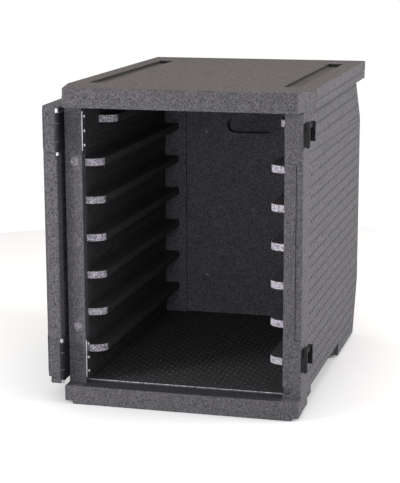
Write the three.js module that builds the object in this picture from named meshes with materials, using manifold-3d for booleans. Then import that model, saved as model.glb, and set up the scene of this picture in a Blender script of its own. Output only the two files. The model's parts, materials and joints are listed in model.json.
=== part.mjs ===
// Front-loading insulated food carrier: a moulded foam body with seven pairs of tray rails, a door on
// two pinned strap hinges that folds back along the left side, and two swing latches on the right side.
// Millimetres, +X to the right, +Y from the door to the back, +Z up. The origin is the centre of the
// base, on the surface that it stands on. "Depth" below is a distance behind the front plane.
import * as THREE from "three";
import { mergeVertices } from "three/addons/utils/BufferGeometryUtils.js";
import Module from "manifold-3d";

const wasm = await Module();
wasm.setup();

// ---- Driving dimensions ----
const WIDTH = 540;
const DEPTH = 770;
const HEIGHT = 687;
const GAP = 0.3; // between pieces that rest on each other
const CUT = 5; // how far a cutting solid runs past the face it opens
const LAP = 1; // how far two solids that are joined run into each other

// Body: outside
const ROOF_UNDERSIDE = 645;
const VISOR_HALF_WIDTH = 250;
const VISOR_TAPER_DEPTH = 92;
const BAND_RECESS = 1;
const BAND_TOP = 662;
const JAMB_DEPTH = 28;
const JAMB_HALF_WIDTH = 257;
const BACK_HALF_WIDTH = 262;
const BODY_BACK = 755;
const BODY_FOOT_BACK = 693;
const BACK_CHAMFER_TOP = 145;
const GRIP_CREASE_FRONT = 555;
const GRIP_CREASE_DROP = 12; // the crease sinks by this much on its way to the back
const GRIP_START = 100;
const GRIP_LEAN = 10;
const SILL_HALF_WIDTH = 258;
const SILL_TOP = 41;
const SKIRT_HEIGHT = 6;
const PLINTH_HALF_WIDTH = 241;
const FOOT_STEP = { start: 100, top: 22 };
const HAND_HOLD = { start: 140, end: 485, top: 38, innerX: 222, radius: 34 };
const STACK_GROOVE = { innerX: 195, outerX: 231, start: 113, end: 666, floor: 679 };

// Body: inside
const CAVITY_HALF_WIDTH = 218;
const CAVITY_FLOOR = 44.5;
const CAVITY_CEILING = 641;
const CAVITY_BACK = 666;
const REBATE_DEPTH = 48.5; // the door's plug sits in front of this
const POST = { innerX: 163, front: 659 };
const BACK_POCKET = { halfWidth: 58, low: 511, high: 549, depth: 24 };
const VENT_MARK = {
  radius: 6,
  depth: 2,
  places: [[-111, 143], [-111, 512], [111, 143], [111, 512], [10, 317]],
};
const JAMB_MARK = { x: -235, radius: 10.5, depth: 1.2, heights: [166, 528] };
const JAMB_STRIP = { innerX: 242, low: 166, high: 537, depth: 1.5 };
const JAMB_SLOT = { innerX: 198, outerX: 238, low: 49, high: 64, depth: 12 };

// Tray rails
const RAIL_LEVELS = 7;
const RAIL_FIRST = 113.5;
const RAIL_PITCH = 82;
const RAIL_THICKNESS = 17;
const RAIL_REACH = 36;
const RAIL_NOSE = 26; // depth over which the rounded nose runs out to full reach
const RAIL_START = 50;
const TOP_RAIL_START = 144;

// Door, in its closed position
const DOOR_HALF_WIDTH = 255;
const DOOR_LOW = 42.5;
const DOOR_HIGH = 643;
const SLAB = { front: 1, back: 27 };
const PLUG = { halfWidth: 209, back: 47 };
const DOOR_OPEN_DEG = 267; // how far the door stands open
const EDGE_RECESS = { front: 8, depth: 3, halfHeight: 43.5 };

// Hinges
const HINGE_HEIGHTS = { lower: 96, upper: 593 };
const HINGE = { axisX: -261, axisDepth: -2, halfHeight: 41.5, knuckleHalf: 19, barrel: 5.5, leaf: 2.4 };
const HINGE_PIN = { radius: 3, bore: 3.1, below: 49, above: 50, capRadius: 3.8 };
const BODY_LEAF = { start: 5, end: 64, rivetDepth: 40 };
const DOOR_LEAF = { reach: 75, rivetX: -198 };
const HINGE_RIVET_PITCH = 30.6;

// Latches
const LATCH_HEIGHTS = { lower: 123.5, upper: 598.5 };
const LATCH_AXIS = { x: 265, depth: 34 };
const LATCH = { low: -24.5, high: 24.5, lugTop: 8, barrel: 4.5, plate: 2.3, plateEnd: 50 };
const LEVER = { hookStart: 72.5, hookEnd: 80.5, hookLow: -16.5, hookX: 7.5, armHalf: 2.5, armLow: 13.5 };
const LATCH_PIN = { radius: 1.6, bore: 1.7, head: 3, headHeight: 1.7 };
const LATCH_RIVET = { depth: 44, heights: [-14, 4] };
const KEEPER = { low: -16, high: 12, plate: 2.5, tabX: 267, tabFront: -4, tabBack: -1, back: 25 };
const KEEPER_PEG = { radius: 2.5, hole: 2.8, length: 15, depth: 14, heights: [-9, 5] };

// Backing plates and rivets
const BACKING = {
  thickness: 2,
  front: 29,
  back: 48.5,
  halfHeight: 41.5,
  doorHalfWidth: 10,
  latchFront: 34,
  latchHalfHeight: 20,
};
const RIVET = { shank: 2.4, hole: 2.7, head: 4, headHeight: 1.8, foot: 3.4, footHeight: 1.8 };

const ROUND = 20; // sides of a small round solid
const ARC = 8; // segments in a rounded corner

// ---- Materials ----
const foam = new THREE.MeshStandardMaterial({ color: 0x45424a, roughness: 0.85, metalness: 0 });
const foamRail = new THREE.MeshStandardMaterial({ color: 0x4b4a50, roughness: 0.85, metalness: 0 });
const nylon = new THREE.MeshStandardMaterial({ color: 0x131215, roughness: 0.45, metalness: 0 });
const steel = new THREE.MeshStandardMaterial({ color: 0xc4c4c6, roughness: 0.3, metalness: 1 });
const blackSteel = new THREE.MeshStandardMaterial({ color: 0x1c1c1e, roughness: 0.45, metalness: 1 });

// ---- Solids ----
const yAt = (depth) => depth - DEPTH / 2;
const radians = THREE.MathUtils.degToRad;

function solidOf(geometry) {
  const plain = geometry.clone();
  plain.deleteAttribute("normal");
  plain.deleteAttribute("uv");
  const merged = mergeVertices(plain, 1e-4);
  const vertProperties = new Float32Array(merged.getAttribute("position").array);
  const triVerts = new Uint32Array(merged.getIndex().array);
  return new wasm.Manifold(new wasm.Mesh({ numProp: 3, vertProperties, triVerts }));
}

function geometryOf(solid) {
  const mesh = solid.getMesh();
  const geometry = new THREE.BufferGeometry();
  geometry.setAttribute("position", new THREE.BufferAttribute(new Float32Array(mesh.vertProperties), 3));
  geometry.setIndex(new THREE.BufferAttribute(new Uint32Array(mesh.triVerts), 1));
  geometry.computeVertexNormals();
  return geometry;
}

const joined = (solids) => solids.reduce((whole, solid) => whole.add(solid));
const cutBy = (solid, cutters) => cutters.reduce((left, cutter) => left.subtract(cutter), solid);

// A box between two values of X, of depth and of height.
function block(x0, x1, depth0, depth1, z0, z1) {
  const geometry = new THREE.BoxGeometry(x1 - x0, depth1 - depth0, z1 - z0);
  geometry.translate((x0 + x1) / 2, yAt((depth0 + depth1) / 2), (z0 + z1) / 2);
  return solidOf(geometry);
}

// The same box on both sides of the centre plane.
const bothSides = (x0, x1, ...rest) => [block(x0, x1, ...rest), block(-x1, -x0, ...rest)];

const extruded = (shape, depth) =>
  new THREE.ExtrudeGeometry(shape, { depth, bevelEnabled: false, curveSegments: ARC });

// A prism that stands on a plan outline of [x, depth] points, or on a ready shape in X and Y.
function planPrism(outline, z0, z1) {
  const shape = outline instanceof THREE.Shape
    ? outline
    : new THREE.Shape(outline.map(([x, depth]) => new THREE.Vector2(x, yAt(depth))));
  const geometry = extruded(shape, z1 - z0);
  geometry.translate(0, 0, z0);
  return solidOf(geometry);
}

// A prism across the width, with a side outline of [depth, height] points.
function sidePrism(outline, x0, x1) {
  const shape = new THREE.Shape(outline.map(([depth, z]) => new THREE.Vector2(yAt(depth), z)));
  const geometry = extruded(shape, x1 - x0);
  const turn = new THREE.Matrix4().makeBasis(
    new THREE.Vector3(0, 1, 0),
    new THREE.Vector3(0, 0, 1),
    new THREE.Vector3(1, 0, 0),
  );
  geometry.applyMatrix4(turn);
  geometry.translate(x0, 0, 0);
  return solidOf(geometry);
}

// A prism from front to back, with a front outline that is a shape in X and Z.
function frontPrism(shape, depth0, depth1) {
  const geometry = extruded(shape, depth1 - depth0);
  geometry.rotateX(Math.PI / 2);
  geometry.translate(0, yAt(depth1), 0);
  return solidOf(geometry);
}

// A round bar from one value to another along X, Y (as a depth) or Z; at gives its two other places.
function bar(axis, radius, from, to, at) {
  const geometry = new THREE.CylinderGeometry(radius, radius, to - from, ROUND);
  const middle = (from + to) / 2;
  if (axis === "x") {
    geometry.rotateZ(-Math.PI / 2);
    geometry.translate(middle, yAt(at[0]), at[1]);
  } else if (axis === "y") {
    geometry.translate(at[0], yAt(middle), at[1]);
  } else {
    geometry.rotateX(Math.PI / 2);
    geometry.translate(at[0], yAt(at[1]), middle);
  }
  return solidOf(geometry);
}

// A shape with half-round ends, between two values of X and two heights.
function stadium(x0, x1, z0, z1) {
  const radius = (z1 - z0) / 2;
  const shape = new THREE.Shape();
  shape.absarc(x1 - radius, z0 + radius, radius, -Math.PI / 2, Math.PI / 2, false);
  shape.absarc(x0 + radius, z0 + radius, radius, Math.PI / 2, Math.PI * 1.5, false);
  return shape;
}

// ---- Scene graph ----
const carrier = new THREE.Group();

const doorGroup = new THREE.Group();
doorGroup.position.set(HINGE.axisX, yAt(HINGE.axisDepth), 0);
doorGroup.rotation.z = radians(-DOOR_OPEN_DEG);
carrier.add(doorGroup);

// Adds a solid that is given where it sits with the door closed.
function place(name, solid, material, group = carrier) {
  const geometry = geometryOf(solid);
  geometry.translate(-group.position.x, -group.position.y, -group.position.z);
  const mesh = new THREE.Mesh(geometry, material);
  mesh.name = name;
  group.add(mesh);
}

// ---- Rivets and backing plates ----
const hingeRivetHeights = (middle) => [-1, 0, 1].map((step) => middle + step * HINGE_RIVET_PITCH);

// One rivet with a wide head at one end of its grip and a small foot at the other, along X or Y.
function rivet(axis, headAt, footAt, at) {
  const way = Math.sign(footAt - headAt);
  const ordered = (a, b) => [Math.min(a, b), Math.max(a, b)];
  const [headLow, headHigh] = ordered(headAt - way * (GAP + RIVET.headHeight), headAt - way * GAP);
  const [footLow, footHigh] = ordered(footAt + way * GAP, footAt + way * (GAP + RIVET.footHeight));
  const [low, high] = ordered(headAt - way * (GAP + LAP), footAt + way * (GAP + LAP));
  return joined([
    bar(axis, RIVET.head, headLow, headHigh, at),
    bar(axis, RIVET.shank, low, high, at),
    bar(axis, RIVET.foot, footLow, footHigh, at),
  ]);
}

const leafOuterX = -(JAMB_HALF_WIDTH + 2 * GAP + HINGE.leaf);
const leafInnerX = leafOuterX + HINGE.leaf;
const backingX = CAVITY_HALF_WIDTH - GAP;
const bracketInnerX = JAMB_HALF_WIDTH + 3 * GAP;
const bracketOuterX = bracketInnerX + LATCH.plate;
const plugBackingFront = PLUG.back - BACKING.thickness;
const doorLeafFront = SLAB.front - GAP - HINGE.leaf;

const hingeHoleThroughWall = (z) =>
  bar("x", RIVET.hole, leafOuterX - CUT, -CAVITY_HALF_WIDTH + CUT, [BODY_LEAF.rivetDepth, z]);
const hingeHoleThroughDoor = (z) =>
  bar("y", RIVET.hole, doorLeafFront - CUT, PLUG.back + CUT, [DOOR_LEAF.rivetX, z]);
const latchHoleThroughWall = (z) =>
  bar("x", RIVET.hole, CAVITY_HALF_WIDTH - CUT, bracketOuterX + CUT, [LATCH_RIVET.depth, z]);

// ---- Body ----
function bodySolid() {
  const planOutline = [
    [-JAMB_HALF_WIDTH, JAMB_DEPTH],
    [JAMB_HALF_WIDTH, JAMB_DEPTH],
    [BACK_HALF_WIDTH, BODY_BACK],
    [-BACK_HALF_WIDTH, BODY_BACK],
  ];
  const sideOutline = [
    [0, SKIRT_HEIGHT],
    [BODY_FOOT_BACK, SKIRT_HEIGHT],
    [BODY_BACK, BACK_CHAMFER_TOP],
    [BODY_BACK, GRIP_CREASE_FRONT - GRIP_CREASE_DROP],
    [BODY_BACK - GRIP_LEAN, ROOF_UNDERSIDE],
    [0, ROOF_UNDERSIDE],
  ];
  const core = planPrism(planOutline, SKIRT_HEIGHT, ROOF_UNDERSIDE).intersect(
    sidePrism(sideOutline, -WIDTH / 2, WIDTH / 2),
  );
  const roofOutline = [
    [-VISOR_HALF_WIDTH, 0],
    [VISOR_HALF_WIDTH, 0],
    [WIDTH / 2, VISOR_TAPER_DEPTH],
    [WIDTH / 2, DEPTH],
    [-WIDTH / 2, DEPTH],
    [-WIDTH / 2, VISOR_TAPER_DEPTH],
  ];
  const roof = planPrism(roofOutline, ROOF_UNDERSIDE - LAP, HEIGHT).subtract(
    block(-WIDTH, WIDTH, -CUT, JAMB_DEPTH, ROOF_UNDERSIDE - CUT, ROOF_UNDERSIDE),
  );
  const overhangTrim = [
    ...bothSides(BACK_HALF_WIDTH, WIDTH, 0, DEPTH + CUT, ROOF_UNDERSIDE - CUT, ROOF_UNDERSIDE),
    block(-WIDTH, WIDTH, BODY_BACK, DEPTH + CUT, ROOF_UNDERSIDE - CUT, ROOF_UNDERSIDE),
  ];
  const sill = block(-SILL_HALF_WIDTH, SILL_HALF_WIDTH, 0, JAMB_DEPTH + LAP, SKIRT_HEIGHT, SILL_TOP);
  const plinth = block(
    -PLINTH_HALF_WIDTH, PLINTH_HALF_WIDTH, 0, BODY_FOOT_BACK, 0, SKIRT_HEIGHT + LAP,
  );
  return joined([core, cutBy(roof, overhangTrim), sill, plinth]);
}

// The wedge that leans a side wall inwards under the roof's edge, for the fingers. Its section goes on
// past the roof's underside, where it is trimmed.
function gripWedge(side) {
  const topZ = GRIP_CREASE_FRONT + 2 * (ROOF_UNDERSIDE - GRIP_CREASE_FRONT);
  const section = new THREE.Shape([
    new THREE.Vector2(side * (BACK_HALF_WIDTH + CUT), GRIP_CREASE_FRONT),
    new THREE.Vector2(side * BACK_HALF_WIDTH, GRIP_CREASE_FRONT),
    new THREE.Vector2(side * (BACK_HALF_WIDTH - 2 * GRIP_LEAN), topZ),
    new THREE.Vector2(side * (BACK_HALF_WIDTH + CUT), topZ),
  ]);
  const length = DEPTH - GRIP_START;
  const geometry = extruded(section, length);
  geometry.rotateX(Math.PI / 2);
  geometry.translate(0, length, -ROOF_UNDERSIDE);
  geometry.rotateX(-Math.atan(GRIP_CREASE_DROP / length));
  geometry.translate(0, yAt(GRIP_START), ROOF_UNDERSIDE);
  return solidOf(geometry).subtract(
    block(-WIDTH, WIDTH, 0, DEPTH * 2, ROOF_UNDERSIDE, HEIGHT * 2),
  );
}

// The scooped hand hold under one long side, with rounded inner corners.
function handHold(side) {
  const { start, end, innerX, radius } = HAND_HOLD;
  const outerX = WIDTH / 2 + CUT;
  const shape = new THREE.Shape();
  shape.moveTo(outerX, yAt(start));
  shape.lineTo(outerX, yAt(end));
  shape.absarc(innerX + radius, yAt(end - radius), radius, Math.PI / 2, Math.PI, false);
  shape.absarc(innerX + radius, yAt(start + radius), radius, Math.PI, Math.PI * 1.5, false);
  const hold = planPrism(shape, -CUT, HAND_HOLD.top);
  return side > 0 ? hold : hold.mirror([1, 0, 0]);
}

function bodyCuts() {
  const cavity = block(
    -CAVITY_HALF_WIDTH, CAVITY_HALF_WIDTH, 0, CAVITY_BACK, CAVITY_FLOOR, CAVITY_CEILING,
  );
  const posts = bothSides(
    POST.innerX, CAVITY_HALF_WIDTH + LAP, POST.front, CAVITY_BACK + LAP, 0, HEIGHT,
  );
  const rebate = block(
    -CAVITY_HALF_WIDTH, CAVITY_HALF_WIDTH, 0, REBATE_DEPTH, SILL_TOP, ROOF_UNDERSIDE,
  );
  const pocket = frontPrism(
    stadium(-BACK_POCKET.halfWidth, BACK_POCKET.halfWidth, BACK_POCKET.low, BACK_POCKET.high),
    CAVITY_BACK - LAP,
    CAVITY_BACK + BACK_POCKET.depth,
  );
  const ventMarks = VENT_MARK.places.map((place) =>
    bar("y", VENT_MARK.radius, CAVITY_BACK - LAP, CAVITY_BACK + VENT_MARK.depth, place),
  );
  const jambMarks = JAMB_MARK.heights.map((z) =>
    bar("y", JAMB_MARK.radius, JAMB_DEPTH - CUT, JAMB_DEPTH + JAMB_MARK.depth, [JAMB_MARK.x, z]),
  );
  const jambStrip = block(
    JAMB_STRIP.innerX, WIDTH, JAMB_DEPTH - CUT, JAMB_DEPTH + JAMB_STRIP.depth,
    JAMB_STRIP.low, JAMB_STRIP.high,
  );
  const jambSlot = frontPrism(
    stadium(JAMB_SLOT.innerX, JAMB_SLOT.outerX, JAMB_SLOT.low, JAMB_SLOT.high),
    JAMB_DEPTH - CUT,
    JAMB_DEPTH + JAMB_SLOT.depth,
  );
  const grooves = bothSides(
    STACK_GROOVE.innerX, STACK_GROOVE.outerX, STACK_GROOVE.start, STACK_GROOVE.end,
    STACK_GROOVE.floor, HEIGHT + CUT,
  );
  const band = [
    ...bothSides(
      WIDTH / 2 - BAND_RECESS, WIDTH, VISOR_TAPER_DEPTH, DEPTH + CUT, ROOF_UNDERSIDE - LAP, BAND_TOP,
    ),
    block(-WIDTH, WIDTH, DEPTH - BAND_RECESS, DEPTH + CUT, ROOF_UNDERSIDE - LAP, BAND_TOP),
  ];
  const footSteps = bothSides(
    HAND_HOLD.innerX, WIDTH, FOOT_STEP.start, HAND_HOLD.start + LAP, -CUT, FOOT_STEP.top,
  );
  const holes = [
    ...Object.values(HINGE_HEIGHTS).flatMap((z) => hingeRivetHeights(z).map(hingeHoleThroughWall)),
    ...Object.values(LATCH_HEIGHTS).flatMap((z) =>
      LATCH_RIVET.heights.map((step) => latchHoleThroughWall(z + step)),
    ),
  ];
  return [
    cutBy(cavity, posts), rebate, pocket, ...ventMarks, ...jambMarks, jambStrip, jambSlot,
    ...grooves, ...band, ...footSteps, handHold(1), handHold(-1), gripWedge(1), gripWedge(-1),
    ...holes,
  ];
}

place("body_shell", cutBy(bodySolid(), bodyCuts()), foam);

// ---- Tray rails ----
function railSolid(side, level) {
  const start = level === RAIL_LEVELS ? TOP_RAIL_START : RAIL_START;
  const wallX = CAVITY_HALF_WIDTH - GAP;
  const noseEnd = yAt(start + RAIL_NOSE);
  const shape = new THREE.Shape();
  shape.moveTo(wallX, yAt(POST.front - GAP));
  shape.lineTo(wallX - RAIL_REACH, yAt(POST.front - GAP));
  shape.absellipse(wallX, noseEnd, RAIL_REACH, RAIL_NOSE, Math.PI, Math.PI * 1.5, false, 0);
  const middle = RAIL_FIRST + (level - 1) * RAIL_PITCH;
  const rail = planPrism(shape, middle - RAIL_THICKNESS / 2, middle + RAIL_THICKNESS / 2);
  return side > 0 ? rail : rail.mirror([1, 0, 0]);
}

for (const [sideName, side] of [["left", -1], ["right", 1]]) {
  for (let level = 1; level <= RAIL_LEVELS; level += 1) {
    place(`tray_rail_${sideName}_${level}`, railSolid(side, level), foamRail);
  }
}

// ---- Door ----
function doorSolid() {
  const slab = block(-DOOR_HALF_WIDTH, DOOR_HALF_WIDTH, SLAB.front, SLAB.back, DOOR_LOW, DOOR_HIGH);
  const plug = block(-PLUG.halfWidth, PLUG.halfWidth, SLAB.back - LAP, PLUG.back, DOOR_LOW, DOOR_HIGH);
  const edgeRecesses = Object.values(HINGE_HEIGHTS).map((z) =>
    block(
      -WIDTH, -DOOR_HALF_WIDTH + EDGE_RECESS.depth, EDGE_RECESS.front, SLAB.back + LAP,
      z - EDGE_RECESS.halfHeight, z + EDGE_RECESS.halfHeight,
    ),
  );
  const plateRecesses = Object.values(HINGE_HEIGHTS).map((z) =>
    block(
      -WIDTH, DOOR_LEAF.rivetX + BACKING.doorHalfWidth + GAP, plugBackingFront - GAP, PLUG.back + CUT,
      z - BACKING.halfHeight - GAP, z + BACKING.halfHeight + GAP,
    ),
  );
  const holes = Object.values(HINGE_HEIGHTS).flatMap((z) =>
    hingeRivetHeights(z).map(hingeHoleThroughDoor),
  );
  const pegHoles = Object.values(LATCH_HEIGHTS).flatMap((z) =>
    KEEPER_PEG.heights.map((step) =>
      bar(
        "x", KEEPER_PEG.hole, DOOR_HALF_WIDTH - KEEPER_PEG.length - LAP, DOOR_HALF_WIDTH + CUT,
        [KEEPER_PEG.depth, z + step],
      ),
    ),
  );
  return cutBy(slab.add(plug), [...edgeRecesses, ...plateRecesses, ...holes, ...pegHoles]);
}

place("door_panel", doorSolid(), foam, doorGroup);

// ---- Hinges ----
const hingeAt = [HINGE.axisX, HINGE.axisDepth];

function bodyLeaf(z) {
  const plate = block(
    leafOuterX, leafInnerX, BODY_LEAF.start, BODY_LEAF.end,
    z - HINGE.halfHeight, z + HINGE.halfHeight,
  );
  const knuckles = [-1, 1].flatMap((side) => {
    const low = side > 0 ? z + HINGE.knuckleHalf + GAP : z - HINGE.halfHeight;
    const high = side > 0 ? z + HINGE.halfHeight : z - HINGE.knuckleHalf - GAP;
    return [
      bar("z", HINGE.barrel, low, high, hingeAt),
      block(leafOuterX, leafInnerX, HINGE.axisDepth, BODY_LEAF.start + LAP, low, high),
    ];
  });
  const bore = bar("z", HINGE_PIN.bore, z - HINGE_PIN.below, z + HINGE_PIN.above, hingeAt);
  const holes = hingeRivetHeights(z).map(hingeHoleThroughWall);
  return cutBy(joined([plate, ...knuckles]), [bore, ...holes]);
}

function doorLeaf(z) {
  const clearOfKnuckle = HINGE.axisX + HINGE.barrel + 3 * GAP;
  const end = HINGE.axisX + DOOR_LEAF.reach;
  const back = doorLeafFront + HINGE.leaf;
  const plate = block(
    clearOfKnuckle, end, doorLeafFront, back, z - HINGE.halfHeight, z + HINGE.halfHeight,
  );
  const low = z - HINGE.knuckleHalf;
  const high = z + HINGE.knuckleHalf;
  const knuckle = bar("z", HINGE.barrel, low, high, hingeAt);
  const strap = block(HINGE.axisX, clearOfKnuckle + LAP, doorLeafFront, back, low, high);
  const bore = bar("z", HINGE_PIN.bore, z - HINGE_PIN.below, z + HINGE_PIN.above, hingeAt);
  const holes = hingeRivetHeights(z).map(hingeHoleThroughDoor);
  return cutBy(joined([plate, knuckle, strap]), [bore, ...holes]);
}

function hingePin(z) {
  const capLow = z + HINGE.halfHeight + GAP;
  return joined([
    bar("z", HINGE_PIN.radius, z - HINGE_PIN.below, capLow + LAP, hingeAt),
    bar("z", HINGE_PIN.capRadius, capLow, z + HINGE_PIN.above, hingeAt),
  ]);
}

const bodyBacking = (z) =>
  block(
    -backingX, -backingX + BACKING.thickness, BACKING.front, BACKING.back,
    z - BACKING.halfHeight, z + BACKING.halfHeight,
  );

const doorBacking = (z) =>
  block(
    DOOR_LEAF.rivetX - BACKING.doorHalfWidth, DOOR_LEAF.rivetX + BACKING.doorHalfWidth,
    plugBackingFront, plugBackingFront + BACKING.thickness,
    z - BACKING.halfHeight, z + BACKING.halfHeight,
  );

const bodyGrip = [leafOuterX, -backingX + BACKING.thickness];
const doorGrip = [doorLeafFront, plugBackingFront + BACKING.thickness];

for (const [name, z] of Object.entries(HINGE_HEIGHTS)) {
  const label = `hinge_${name}`;
  const heights = hingeRivetHeights(z);
  place(`${label}_body_leaf`, bodyLeaf(z), nylon);
  place(`${label}_pin`, hingePin(z), steel);
  place(`${label}_body_backing_plate`, cutBy(bodyBacking(z), heights.map(hingeHoleThroughWall)), steel);
  place(`${label}_door_leaf`, doorLeaf(z), nylon, doorGroup);
  const doorPlate = cutBy(doorBacking(z), heights.map(hingeHoleThroughDoor));
  place(`${label}_door_backing_plate`, doorPlate, blackSteel, doorGroup);
  heights.forEach((rivetZ, index) => {
    const bodyRivet = rivet("x", ...bodyGrip, [BODY_LEAF.rivetDepth, rivetZ]);
    place(`${label}_body_rivet_${index + 1}`, bodyRivet, steel);
    const doorRivet = rivet("y", ...doorGrip, [DOOR_LEAF.rivetX, rivetZ]);
    place(`${label}_door_rivet_${index + 1}`, doorRivet, steel, doorGroup);
  });
}

// ---- Latches ----
const latchAt = [LATCH_AXIS.x, LATCH_AXIS.depth];

function latchBracket(z) {
  const plate = block(
    bracketInnerX, bracketOuterX, LATCH_AXIS.depth - LATCH.barrel, LATCH.plateEnd,
    z + LATCH.low, z + LATCH.high,
  );
  const lug = block(
    bracketInnerX, LATCH_AXIS.x, LATCH_AXIS.depth - LATCH.barrel, LATCH_AXIS.depth + LATCH.barrel,
    z + LATCH.low, z + LATCH.lugTop,
  );
  const barrel = bar("z", LATCH.barrel, z + LATCH.low, z + LATCH.lugTop, latchAt);
  const bore = bar("z", LATCH_PIN.bore, z + LATCH.low - CUT, z + LATCH.high + CUT, latchAt);
  const holes = LATCH_RIVET.heights.map((step) => latchHoleThroughWall(z + step));
  return cutBy(joined([plate, lug, barrel]), [bore, ...holes]);
}

// The lever folded back along the side: a knuckle, an arm along the top and a hook leg at its end.
function latchLever(z) {
  const knuckle = bar("z", LATCH.barrel, z + LATCH.lugTop + GAP, z + LATCH.high, latchAt);
  const arm = block(
    LATCH_AXIS.x - LEVER.armHalf, LATCH_AXIS.x + LEVER.armHalf, LATCH_AXIS.depth, LEVER.hookEnd,
    z + LEVER.armLow, z + LATCH.high,
  );
  const hook = block(
    LATCH_AXIS.x - LEVER.armHalf, LATCH_AXIS.x + LEVER.hookX, LEVER.hookStart, LEVER.hookEnd,
    z + LEVER.hookLow, z + LATCH.high,
  );
  const bore = bar("z", LATCH_PIN.bore, z + LATCH.low - CUT, z + LATCH.high + CUT, latchAt);
  return cutBy(joined([knuckle, arm, hook]), [bore]);
}

function latchPin(z) {
  const ends = [z + LATCH.low - GAP, z + LATCH.high + GAP];
  return joined([
    bar("z", LATCH_PIN.radius, ends[0] - LAP, ends[1] + LAP, latchAt),
    bar("z", LATCH_PIN.head, ends[0] - LATCH_PIN.headHeight, ends[0], latchAt),
    bar("z", LATCH_PIN.head, ends[1], ends[1] + LATCH_PIN.headHeight, latchAt),
  ]);
}

// The catch on the door's free edge: an edge plate, a tab that the hook leg bears on, and two pegs.
function latchKeeper(z) {
  const inner = DOOR_HALF_WIDTH + GAP;
  const low = z + KEEPER.low;
  const high = z + KEEPER.high;
  const plate = block(inner, inner + KEEPER.plate, KEEPER.tabFront, KEEPER.back, low, high);
  const tab = block(inner, KEEPER.tabX, KEEPER.tabFront, KEEPER.tabBack, low, high);
  const pegs = KEEPER_PEG.heights.map((step) =>
    bar(
      "x", KEEPER_PEG.radius, DOOR_HALF_WIDTH - KEEPER_PEG.length, inner + LAP,
      [KEEPER_PEG.depth, z + step],
    ),
  );
  return joined([plate, tab, ...pegs]);
}

function latchBacking(z) {
  const plate = block(
    backingX - BACKING.thickness, backingX, BACKING.latchFront, BACKING.back,
    z - BACKING.latchHalfHeight, z + BACKING.latchHalfHeight,
  );
  return cutBy(plate, LATCH_RIVET.heights.map((step) => latchHoleThroughWall(z + step)));
}

const latchGrip = [bracketOuterX, backingX - BACKING.thickness];

for (const [name, z] of Object.entries(LATCH_HEIGHTS)) {
  const label = `latch_${name}`;
  place(`${label}_bracket`, latchBracket(z), nylon);
  place(`${label}_lever`, latchLever(z), nylon);
  place(`${label}_pin`, latchPin(z), blackSteel);
  place(`${label}_backing_plate`, latchBacking(z), blackSteel);
  place(`${label}_keeper`, latchKeeper(z), nylon, doorGroup);
  LATCH_RIVET.heights.forEach((step, index) => {
    const latchRivet = rivet("x", ...latchGrip, [LATCH_RIVET.depth, z + step]);
    place(`${label}_rivet_${index + 1}`, latchRivet, blackSteel);
  });
}

export default carrier;
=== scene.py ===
import json
import math

import bmesh
import bpy
from mathutils import Matrix, Vector


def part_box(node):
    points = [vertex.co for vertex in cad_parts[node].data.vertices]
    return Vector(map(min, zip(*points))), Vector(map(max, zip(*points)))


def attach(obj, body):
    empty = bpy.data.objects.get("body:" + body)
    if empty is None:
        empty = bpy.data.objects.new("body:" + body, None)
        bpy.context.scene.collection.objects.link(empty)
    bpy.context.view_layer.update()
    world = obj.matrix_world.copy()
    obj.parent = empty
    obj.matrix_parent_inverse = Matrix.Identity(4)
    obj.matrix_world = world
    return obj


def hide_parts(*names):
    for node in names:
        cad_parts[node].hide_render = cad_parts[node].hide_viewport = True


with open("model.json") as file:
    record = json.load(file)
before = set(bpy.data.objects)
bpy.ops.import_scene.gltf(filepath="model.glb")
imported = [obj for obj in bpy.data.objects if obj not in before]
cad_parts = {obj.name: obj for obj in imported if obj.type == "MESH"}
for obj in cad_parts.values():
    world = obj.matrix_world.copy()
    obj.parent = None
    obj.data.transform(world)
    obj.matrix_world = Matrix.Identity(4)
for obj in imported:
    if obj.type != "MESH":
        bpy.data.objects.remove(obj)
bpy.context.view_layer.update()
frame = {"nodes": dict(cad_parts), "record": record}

MM = 0.001

# ---- Places and sizes that the frame gives ----
body_low, body_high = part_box("body_shell")
rail_low, rail_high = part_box("tray_rail_right_1")
rail_above_low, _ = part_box("tray_rail_right_2")
top_rail_low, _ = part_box("tray_rail_right_7")
pin_low, pin_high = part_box("hinge_upper_pin")

RAIL_PITCH = rail_above_low.z - rail_low.z
HALF_WIDTH = body_high.x
FRONT = body_low.y
HEIGHT = body_high.z
HINGE_AXIS = Vector(((pin_low.x + pin_high.x) / 2, (pin_low.y + pin_high.y) / 2, 0))
DOOR_OPEN = math.radians(-267)

# ---- Body, in millimetres: depths run back from the front plane ----
ROOF_BACK = 770
ROOF_UNDERSIDE = 645
VISOR_HALF_WIDTH = 250
VISOR_TAPER_DEPTH = 92
BAND_RECESS = 1
BAND_TOP = 662
JAMB_DEPTH = 28
JAMB_HALF_WIDTH = 257
BACK_HALF_WIDTH = 262
BODY_BACK = 755
BODY_FOOT_BACK = 693
BACK_CHAMFER_TOP = 145
GRIP_CREASE_FRONT = 555
GRIP_CREASE_DROP = 12
GRIP_START = 100
GRIP_LEAN = 10
SILL_HALF_WIDTH = 258
SILL_TOP = 41
SKIRT_HEIGHT = 6
PLINTH_HALF_WIDTH = 241
FOOT_STEP_START = 100
FOOT_STEP_TOP = 22
HOLD_START = 140
HOLD_END = 485
HOLD_TOP = 38
HOLD_INNER = 222
HOLD_RADIUS = 34
GROOVE_INNER = 195
GROOVE_OUTER = 231
GROOVE_START = 113
GROOVE_END = 666
GROOVE_FLOOR = 679
CAVITY_HALF_WIDTH = 218
CAVITY_FLOOR = 44.5
CAVITY_CEILING = 641
CAVITY_BACK = 666
REBATE_DEPTH = 48.5
POST_INNER = 163
POST_FRONT = 659
POCKET_HALF_WIDTH = 58
POCKET_LOW = 511
POCKET_HIGH = 549
POCKET_DEPTH = 24
VENT_RADIUS = 6
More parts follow.
